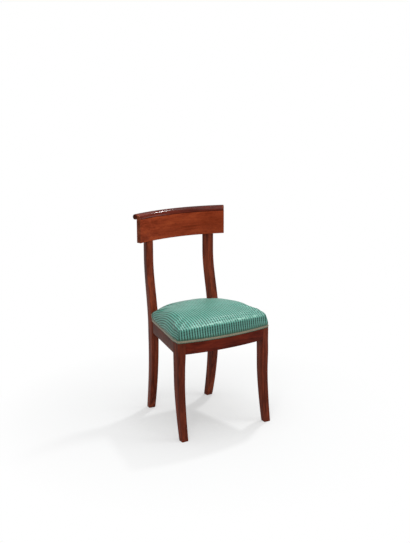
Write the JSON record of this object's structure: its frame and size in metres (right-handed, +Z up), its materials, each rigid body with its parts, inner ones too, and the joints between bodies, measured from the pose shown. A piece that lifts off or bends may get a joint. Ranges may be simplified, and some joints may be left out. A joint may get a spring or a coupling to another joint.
{
  "type": "klismos dining chair",
  "caption": "Dining chair with sabre legs, raked back posts, a curved crest tablet with a rolled edge, and a fixed stuffed seat in striped satin.",
  "frame": {"origin": "on the floor, at the middle of the footprint of the whole chair", "axes": "+Z up, the front of the seat faces -Y, +X to the right seen from the front"},
  "size_m": [0.4292, 0.428, 0.8493],
  "materials": {
    "mahogany": "french polished, glossy",
    "pale_wood": "sawn, unpolished",
    "screw_steel": "dull",
    "jute_webbing": "coarse twill",
    "hessian": "coarse plain weave",
    "horsehair": "curled hair stuffing",
    "striped_satin": "woven satin stripe",
    "gimp_braid": "narrow woven braid"
  },
  "bodies": {
    "root": {"front_rail": "mahogany", "side_rail_right": "mahogany", "side_rail_left": "mahogany", "rear_rail": "mahogany", "front_leg_right": "mahogany", "front_leg_left": "mahogany", "back_post_right": "mahogany", "back_post_left": "mahogany", "crest_rail": "mahogany", "crest_roll": "mahogany", "crest_peg_lower_right": "mahogany", "crest_peg_lower_left": "mahogany", "crest_peg_upper_right": "mahogany", "crest_peg_upper_left": "mahogany", "corner_block_front_right": "pale_wood", "corner_block_front_left": "pale_wood", "corner_block_rear_right": "pale_wood", "corner_block_rear_left": "pale_wood", "screw_front_rail_right": "screw_steel", "screw_front_rail_left": "screw_steel", "screw_front_side_right": "screw_steel", "screw_front_side_left": "screw_steel", "screw_rear_rail_right": "screw_steel", "screw_rear_rail_left": "screw_steel", "screw_rear_side_right": "screw_steel", "screw_rear_side_left": "screw_steel", "webbing_lengthwise_left": "jute_webbing", "webbing_lengthwise_middle": "jute_webbing", "webbing_lengthwise_right": "jute_webbing", "webbing_crosswise_front": "jute_webbing", "webbing_crosswise_middle": "jute_webbing", "webbing_crosswise_rear": "jute_webbing", "hessian": "hessian", "horsehair_pad": "horsehair", "seat_cover": "striped_satin", "gimp_front": "gimp_braid", "gimp_turnup_right": "gimp_braid", "gimp_turnup_left": "gimp_braid", "gimp_rear": "gimp_braid"}
  },
  "joints": []
}
